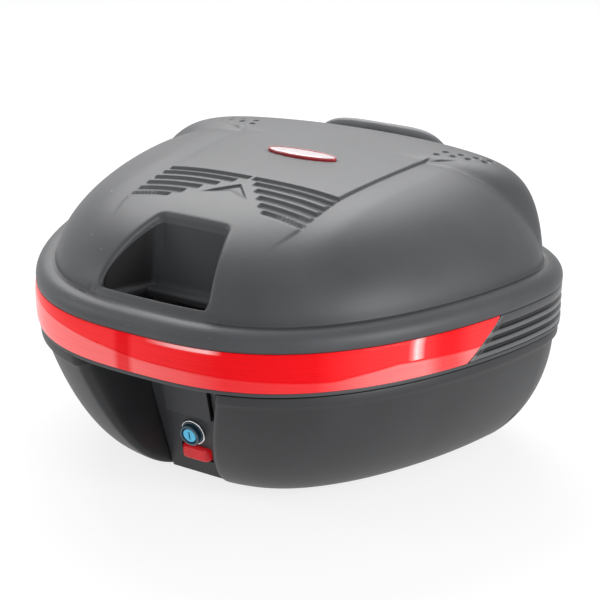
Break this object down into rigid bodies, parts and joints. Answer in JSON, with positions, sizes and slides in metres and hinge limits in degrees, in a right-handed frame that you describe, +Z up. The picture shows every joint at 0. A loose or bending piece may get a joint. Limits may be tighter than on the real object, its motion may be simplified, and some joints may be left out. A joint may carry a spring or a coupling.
{
  "type": "motorcycle top case",
  "caption": "Motorcycle top case with a hinged lid, wrap-round reflector, handle slot, key lock with latch bolt and quick-release catch.",
  "frame": {"origin": "on the ground plane under the middle of the bounding box", "axes": "+X across the width, -Y towards the lock, +Y towards the hinges, +Z up"},
  "size_m": [0.56, 0.484, 0.303],
  "materials": {
    "tub_plastic": "fine grained moulded plastic",
    "lid_plastic": "grained moulded plastic, slightly scuffed",
    "cup_plastic": "grained moulded plastic",
    "panel_plastic": "satin moulded plastic",
    "black_plastic": "satin moulded plastic",
    "grille_plastic": "semi-gloss black",
    "seal_rubber": "soft black rubber",
    "red_lens": "clear red reflector plastic",
    "badge_red": "gloss red",
    "badge_silver": "pale silver",
    "pad_foam": "moulded foam skin",
    "zinc_plate": "zinc plated steel",
    "zinc_screws": "zinc plated steel",
    "bright_pins": "bright steel",
    "chrome_ring": "chrome",
    "barrel_metal": "dark die-cast metal",
    "blue_face": "light blue enamel",
    "red_button": "red moulded plastic"
  },
  "bodies": {
    "base": {"lower_shell": "tub_plastic", "rim_seal": "seal_rubber", "lock_panel": "panel_plastic", "panel_screws": "zinc_screws", "lock_housing": "black_plastic", "floor_frame": "zinc_plate", "floor_screws": "zinc_screws", "front_claws": "zinc_plate", "hinge_base_left": "black_plastic", "hinge_base_right": "black_plastic", "hinge_base_screws": "zinc_screws", "hinge_pins": "bright_pins", "lock_sleeve": "black_plastic", "lock_bezel": "chrome_ring", "release_spring": "bright_pins"},
    "lid": {"lid_shell": "lid_plastic", "handle_cup": "cup_plastic", "lens_carrier": "black_plastic", "reflector_lens": "red_lens", "side_grille_left": "grille_plastic", "side_grille_right": "grille_plastic", "badge_bezel": "badge_red", "badge_plate": "badge_silver", "backrest_pad": "pad_foam", "backrest_screws": "zinc_screws", "lid_hasp": "panel_plastic", "hasp_screws": "zinc_screws", "strike": "zinc_plate", "hinge_leaf_left": "black_plastic", "hinge_leaf_right": "black_plastic", "hinge_leaf_screws": "zinc_screws"},
    "key": {"key_barrel": "barrel_metal", "key_face": "blue_face"},
    "latch": {"latch_bolt": "zinc_plate"},
    "release": {"release_button": "red_button", "plate_catch": "zinc_plate"}
  },
  "joints": [
    {"name": "lid_hinge", "type": "hinge", "parent": "base", "child": "lid", "pos_m": [0, 0.2345, 0.1436], "axis": [-1, 0, 0], "range_deg": [0, 95]},
    {"name": "key_turn", "type": "hinge", "parent": "base", "child": "key", "pos_m": [0, -0.15158, 0.054], "axis": [0, -0.9781, -0.2079], "range_deg": [0, 90]},
    {"name": "latch_slide", "type": "slide", "parent": "base", "child": "latch", "axis": [0, -0.9781, -0.2079], "range_m": [0, 0.004]},
    {"name": "release_press", "type": "slide", "parent": "base", "child": "release", "axis": [0, 1, 0], "range_m": [0, 0.006], "stiffness_N_per_m": 400, "deforming": ["release_spring"]}
  ],
  "couplings": [
    {"joint": "key_turn", "follows": "latch_slide", "rad_per_m": 392.69}
  ]
}
